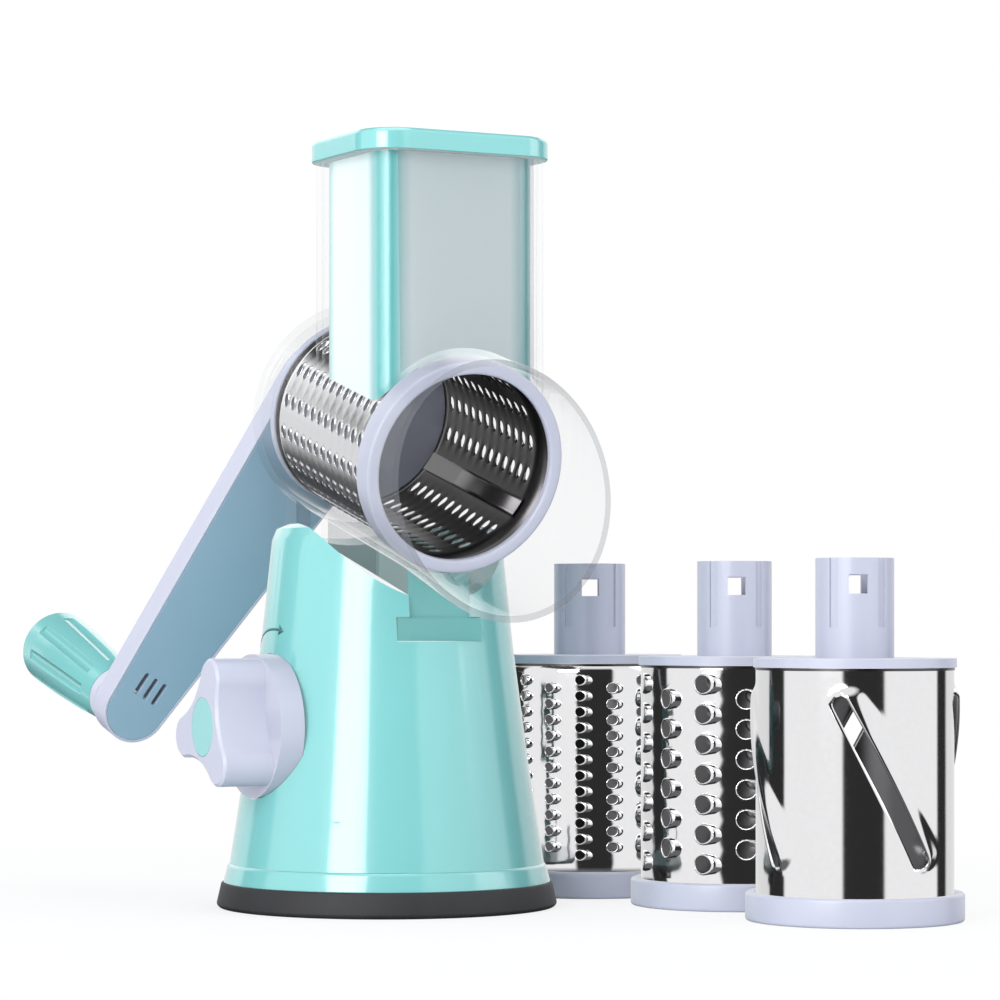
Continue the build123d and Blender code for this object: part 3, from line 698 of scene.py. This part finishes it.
def turn_arrow():
    """The arrow over the knob that shows which way it turns, laid on the column's wall as a thin skin
    painted dark teal for the shade in a sunk arrow's groove.
    """
    reach, half = ARROW_RADIUS, ARROW_HALF_WIDTH
    start, end = ARROW_START, ARROW_END
    mesh = bmesh.new()
    inner = mesh.verts.new((0, (reach - half) * sin(start), (reach - half) * cos(start)))
    outer = mesh.verts.new((0, (reach + half) * sin(start), (reach + half) * cos(start)))
    line = mesh.edges.new((inner, outer))
    bmesh.ops.spin(
        mesh, geom=[inner, outer, line], cent=(0, 0, 0), axis=(1, 0, 0), angle=start - end, steps=24,
    )
    wings = [mesh.verts.new((0, (reach + wing) * sin(end), (reach + wing) * cos(end)))
             for wing in (-2.2 * MM, 2.2 * MM)]
    tip = mesh.verts.new((0, reach * sin(end - radians(5.5)), reach * cos(end - radians(5.5))))
    mesh.faces.new((wings[0], wings[1], tip))
    bmesh.ops.subdivide_edges(mesh, edges=mesh.edges, cuts=1, use_grid_fill=True)
    wall = BVHTree.FromPolygons(
        [v.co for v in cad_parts["base_column"].data.vertices],
        [face.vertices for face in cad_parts["base_column"].data.polygons],
    )
    for v in mesh.verts:
        high = v.co.z + KNOB_HEIGHT
        hit = wall.ray_cast(Vector((-0.2, v.co.y, high)), Vector((1, 0, 0)))[0]
        v.co = (hit.x - 0.12 * MM, v.co.y, high)
    bmesh.ops.recalc_face_normals(mesh, faces=mesh.faces)
    if mesh.faces[0].normal.x > 0:
        bmesh.ops.reverse_faces(mesh, faces=mesh.faces)
    made = piece("knob_arrow", mesh, arrow_painted_shade, "base", "mint")
    skin = made.modifiers.new("skin", "SOLIDIFY")
    skin.thickness = 0.3 * MM
    skin.offset = -1.0


def lock():
    """The lock knob and its insert."""
    turn_arrow()
    smooth_copy("lock_knob", lavender, "knob", "lavender", 0.8, sharp=24, whole_flats=False)
    smooth_copy("knob_insert", mint, "knob", "mint", 0.3)


def crank():
    """The crank's arm and grip."""
    smooth_copy("crank_arm", lavender, "rotor", "lavender", 0.6, sharp=24)
    smooth_copy("crank_inlay", inlay_blue, "rotor", "inlay", 0.25, sharp=24)
    smooth_copy("grip_collar", lavender, "rotor", "lavender", 0.5)
    smooth_copy("grip_body", mint, "grip", "mint", 0.0, sharp=24)
    smooth_copy("grip_end_cap", mint, "grip", "mint", 0.0, sharp=24)


def hidden_pieces():
    """Pieces that keep their CAD shape take their finishes."""
    finishes = {
        "base_plate": white_plastic, "base_screws": plated, "cam_shaft": white_plastic,
        "knob_screw": plated, "lift_stem": white_plastic, "crank_catch": mint, "grip_pin": plated,
    }
    for node, finish in finishes.items():
        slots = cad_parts[node].data.materials
        slots.clear()
        slots.append(finish)


stand()
drums()
pusher()
lock()
crank()
hidden_pieces()

# ---------------------------------------------------------------- stage, light and camera
VIEW_TURN = radians(27.8)
FORWARD = Vector((sin(VIEW_TURN), cos(VIEW_TURN), 0))
SIDEWAYS = Vector((cos(VIEW_TURN), -sin(VIEW_TURN), 0))


def studio_world():
    """A white room: even light, with the dark gaps between its light walls seen in gloss only."""
    world = bpy.data.worlds.new("studio")
    bpy.context.scene.world = world
    finish = Finish(world, "World")
    direction = finish.node("ShaderNodeTexCoord", output="Generated")
    split = finish.node("ShaderNodeSeparateXYZ", None, {"Vector": direction})
    east, north, up = (Flow(finish, split.socket.node.outputs[i]) for i in range(3))
    right = east * SIDEWAYS.x + north * SIDEWAYS.y
    near = (east * FORWARD.x + north * FORWARD.y) * -1.0
    turn = finish.node("ShaderNodeMath", {"operation": "ARCTAN2"}, {0: right, 1: near}) / tau + 0.5
    stops = []
    dark, bright = 0.03, 1.05
    for start, end, value in (
        (-180, -125, 0.8), (-122, -97, dark), (-94, -21, bright), (-18, 27, dark), (30, 103, bright),
        (106, 133, dark), (136, 180, 0.8),
    ):
        stops += [(start / 360 + 0.5, value), (end / 360 + 0.5, value)]
    walls = finish.node("ShaderNodeValToRGB", {"stops": stops}, {0: turn})
    ceiling = ((up - 0.42) * 4.0).clamp()
    carpet = ((up * -1.0 - 0.30) * 5.0).clamp()
    front = finish.blend(carpet, finish.blend(ceiling, walls, (1.0, 1.0, 1.0)), (0.16, 0.16, 0.17))
    height = (
        (0.0, 0.03), (0.41, 0.04), (0.45, 0.85), (0.54, 0.9), (0.59, 1.3), (0.77, 1.3), (0.81, 0.04),
        (1.0, 0.04),
    )
    rear = finish.node("ShaderNodeValToRGB", {"stops": height}, {0: up * 0.5 + 0.5})
    behind = (((turn - 0.5).abs() - 0.338) * 60.0).clamp()
    room = finish.blend(behind, front, rear)
    light = finish.node("ShaderNodeLightPath", output="Is Camera Ray")
    glossy = Flow(finish, light.socket.node.outputs["Is Glossy Ray"])
    lit = finish.node("ShaderNodeBackground", None, {"Color": (0.93, 0.96, 1.0, 1), "Strength": 0.72})
    mirrored = finish.node("ShaderNodeBackground", None, {"Color": room, "Strength": 1.0})
    seen = finish.node("ShaderNodeBackground", None, {"Color": (1, 1, 1, 1), "Strength": 1.0})
    back = finish.node("ShaderNodeMixShader", None, {0: glossy, 1: lit, 2: mirrored})
    finish.close(finish.node("ShaderNodeMixShader", None, {0: light, 1: back, 2: seen}))


def studio_floor():
    """A plain pale floor that keeps the tool's soft shadow."""
    mesh = bmesh.new()
    bmesh.ops.create_grid(mesh, x_segments=1, y_segments=1, size=3.0)
    data = bpy.data.meshes.new("floor")
    mesh.to_mesh(data)
    mesh.free()
    floor = bpy.data.objects.new("floor", data)
    bpy.context.scene.collection.objects.link(floor)
    finish = material("floor_paint")
    grain = finish.noise(40.0, 3.0)
    paint = finish.node(
        "ShaderNodeBsdfDiffuse", None, {"Color": finish.blend(grain, (0.86, 0.87, 0.88), (0.88, 0.89, 0.9))}
    )
    glow = finish.node("ShaderNodeEmission", None, {"Color": (1, 1, 1, 1), "Strength": 1.0})
    camera = finish.node("ShaderNodeLightPath", output="Is Camera Ray")
    reach = finish.node("ShaderNodeVectorMath", {"operation": "LENGTH"}, {0: finish.coordinates()}, "Value")
    white = (0.86 + (reach - 0.25) * 0.5).clamp()
    glossy = Flow(finish, camera.socket.node.outputs["Is Glossy Ray"])
    open_floor = finish.node("ShaderNodeBsdfTransparent")
    seen = finish.node("ShaderNodeMixShader", None, {0: camera * white, 1: paint, 2: glow})
    surface = finish.node("ShaderNodeMixShader", None, {0: glossy, 1: seen, 2: open_floor})
    data.materials.append(finish.close(surface))


def lamp(name, place, aim, size, watts):
    """A soft box aimed at a point."""
    light = bpy.data.lights.new(name, "AREA")
    light.shape = "RECTANGLE"
    light.size, light.size_y = size
    light.energy = watts
    made = bpy.data.objects.new(name, light)
    made.location = place
    made.rotation_euler = (Vector(aim) - Vector(place)).to_track_quat("-Z", "Y").to_euler()
    bpy.context.scene.collection.objects.link(made)


def camera():
    """A long level lens from the front left."""
    focal_pixels = 3560
    frame_pixels = 1000
    centre_x = 489
    horizon_y = 620
    lens = bpy.data.cameras.new("camera")
    lens.sensor_width = 36.0
    lens.lens = focal_pixels / frame_pixels * lens.sensor_width
    lens.shift_x = (frame_pixels / 2 - centre_x) / frame_pixels
    lens.shift_y = (horizon_y - frame_pixels / 2) / frame_pixels
    made = bpy.data.objects.new("camera", lens)
    made.location = FORWARD * -1.570 + SIDEWAYS * 0.045 + Vector((0, 0, 0.126))
    made.rotation_euler = (pi / 2, 0, -VIEW_TURN)
    bpy.context.scene.collection.objects.link(made)
    bpy.context.scene.camera = made


studio_world()
studio_floor()
lamp("left_box", (-1.3, -0.9, 0.6), (0, 0, 0.15), (0.8, 0.9), 15)
lamp("right_box", (1.1, -0.8, 0.8), (0, 0, 0.15), (0.7, 0.9), 3)
lamp("top_box", (0.0, -0.1, 1.5), (0, 0, 0.1), (1.0, 1.0), 5)
camera()
scene = bpy.context.scene
scene.view_settings.view_transform = "Standard"
scene.cycles.transparent_max_bounces = 40
